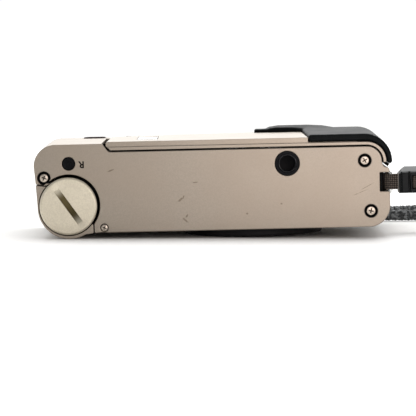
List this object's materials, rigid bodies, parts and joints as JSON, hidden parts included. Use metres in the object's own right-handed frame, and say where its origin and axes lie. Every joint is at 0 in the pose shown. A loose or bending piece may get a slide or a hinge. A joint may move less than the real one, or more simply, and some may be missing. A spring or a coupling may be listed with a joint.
{
  "type": "compact film camera",
  "caption": "Compact 35 mm film camera lying face down, with hinged film door, retracting lens, battery cap, tripod socket and braided wrist strap.",
  "frame": {"origin": "on the surface the camera lies on, under the middle of the body without its strap", "axes": "+X along the body towards the viewer's right hand, +Y from the base plate to the top cover, +Z from the lens to the film door"},
  "size_m": [0.1735, 0.1042, 0.0355],
  "materials": {
    "titanium_cover": "fine bead-blasted champagne metal",
    "champagne_cap": "turned satin metal, lighter champagne",
    "black_plastic": "moulded black",
    "grip_rubber": "satin dark grey grip",
    "steel": "nickel-plated",
    "chrome": "polished",
    "brass": "turned",
    "clear_glass": "polished",
    "smoked_window": "glossy, smoked",
    "chassis_plastic": "flat black against stray light",
    "circuit_board": "green solder mask",
    "cell_sleeve": "blue shrink sleeve",
    "strap_webbing": "woven black",
    "cord_braid": "braided grey-black"
  },
  "bodies": {
    "camera_body": {"base_plate": "titanium_cover", "front_cover": "titanium_cover", "end_cover": "titanium_cover", "battery_housing": "titanium_cover", "top_cover": "titanium_cover", "chassis": "chassis_plastic", "mid_deck": "chassis_plastic", "light_baffle": "chassis_plastic", "tripod_bush": "black_plastic", "base_screw_left": "steel", "base_screw_upper_right": "steel", "base_screw_lower_right": "steel", "base_screw_small": "steel", "battery_tube": "chassis_plastic", "battery_cell": "cell_sleeve", "lens_bezel": "titanium_cover", "lens_tube": "chassis_plastic", "wind_motor": "steel", "finder_tube": "chassis_plastic", "finder_window": "clear_glass", "eyepiece_frame": "black_plastic", "eyepiece_lens": "clear_glass", "rangefinder_window": "smoked_window", "flash_window": "clear_glass", "flash_reflector": "chrome", "flash_tube": "clear_glass", "flash_capacitor": "cell_sleeve", "circuit_board": "circuit_board", "lcd_window": "smoked_window", "ready_lamp": "smoked_window", "eye_sensor": "smoked_window", "door_hinge_pin": "chrome", "strap_lug": "chrome", "strap_anchor": "steel", "strap_webbing": "strap_webbing", "strap_buckle": "black_plastic", "wrist_cord": "cord_braid"},
    "film_door": {"film_door": "titanium_cover", "thumb_grip": "grip_rubber", "film_window": "smoked_window", "pressure_spring": "steel"},
    "pressure_plate": {"pressure_plate": "chassis_plastic"},
    "door_release": {"door_release": "black_plastic"},
    "battery_contact": {"battery_contact": "brass"},
    "battery_cap": {"battery_cap": "champagne_cap"},
    "rewind_button": {"rewind_button": "black_plastic"},
    "shutter_button": {"shutter_button": "titanium_cover"},
    "selftimer_button": {"selftimer_button": "black_plastic"},
    "exposure_dial": {"exposure_dial": "titanium_cover"},
    "focus_dial": {"focus_dial": "titanium_cover"},
    "aperture_ring": {"aperture_ring": "black_plastic"},
    "lens_barrel": {"lens_barrel": "titanium_cover", "lens_cell": "black_plastic", "front_lens": "clear_glass", "shutter_unit": "black_plastic", "rear_lens": "clear_glass"},
    "barrier_blade_right": {"barrier_blade_right": "black_plastic"},
    "barrier_blade_left": {"barrier_blade_left": "black_plastic"},
    "take_up_spool": {"take_up_spool": "chassis_plastic"},
    "rewind_fork": {"rewind_fork": "black_plastic"}
  },
  "joints": [
    {"name": "film_door_hinge", "type": "hinge", "parent": "camera_body", "child": "film_door", "pos_m": [0.0587, 0, 0.0226], "axis": [0, 1, 0], "range_deg": [0, 88]},
    {"name": "pressure_plate_travel", "type": "slide", "parent": "film_door", "child": "pressure_plate", "axis": [0, 0, 1], "range_m": [0, 0.0006], "stiffness_N_per_m": 300, "springref_m": -0.001, "deforming": ["pressure_spring"]},
    {"name": "door_release_slide", "type": "slide", "parent": "camera_body", "child": "door_release", "axis": [0, -1, 0], "range_m": [0, 0.0032], "stiffness_N_per_m": 200},
    {"name": "battery_contact_lift", "type": "slide", "parent": "camera_body", "child": "battery_contact", "axis": [0, -1, 0], "range_m": [0, 0.014]},
    {"name": "battery_cap_turn", "type": "hinge", "parent": "battery_contact", "child": "battery_cap", "pos_m": [-0.0483, -0.0315, 0.0116], "axis": [0, -1, 0], "range_deg": [0, 90]},
    {"name": "rewind_button_press", "type": "slide", "parent": "camera_body", "child": "rewind_button", "axis": [0, 1, 0], "range_m": [0, 0.0008], "stiffness_N_per_m": 400},
    {"name": "shutter_button_press", "type": "slide", "parent": "camera_body", "child": "shutter_button", "axis": [0, -1, 0], "range_m": [0, 0.001], "stiffness_N_per_m": 600},
    {"name": "selftimer_button_press", "type": "slide", "parent": "camera_body", "child": "selftimer_button", "axis": [0, -1, 0], "range_m": [0, 0.0005], "stiffness_N_per_m": 400},
    {"name": "exposure_dial_turn", "type": "hinge", "parent": "camera_body", "child": "exposure_dial", "pos_m": [0.03, 0.0324, 0.016], "axis": [0, 1, 0], "range_deg": [-60, 60]},
    {"name": "focus_dial_turn", "type": "hinge", "parent": "camera_body", "child": "focus_dial", "pos_m": [-0.022, 0.0324, 0.017], "axis": [0, 1, 0], "range_deg": [-150, 150]},
    {"name": "aperture_ring_turn", "type": "hinge", "parent": "camera_body", "child": "aperture_ring", "pos_m": [0.0135, -0.005, 0.002], "axis": [0, 0, -1], "range_deg": [0, 100]},
    {"name": "lens_extend", "type": "slide", "parent": "camera_body", "child": "lens_barrel", "axis": [0, 0, -1], "range_m": [0, 0.012]},
    {"name": "barrier_right_swing", "type": "hinge", "parent": "lens_barrel", "child": "barrier_blade_right", "pos_m": [0.0135, 0.0056, 0.0025], "axis": [0, 0, 1], "range_deg": [0, 36]},
    {"name": "barrier_left_swing", "type": "hinge", "parent": "lens_barrel", "child": "barrier_blade_left", "pos_m": [0.0135, -0.0156, 0.0025], "axis": [0, 0, 1], "range_deg": [0, 36]},
    {"name": "take_up_spool_spin", "type": "hinge", "parent": "camera_body", "child": "take_up_spool", "pos_m": [0.0446, -0.006, 0.0166], "axis": [0, 1, 0], "continuous": true},
    {"name": "rewind_fork_spin", "type": "hinge", "parent": "camera_body", "child": "rewind_fork", "pos_m": [-0.0212, 0.016, 0.0182], "axis": [0, 1, 0], "continuous": true}
  ],
  "couplings": [
    {"joint": "barrier_right_swing", "follows": "lens_extend", "rad_per_m": 52.3},
    {"joint": "barrier_left_swing", "follows": "lens_extend", "rad_per_m": 52.3}
  ]
}
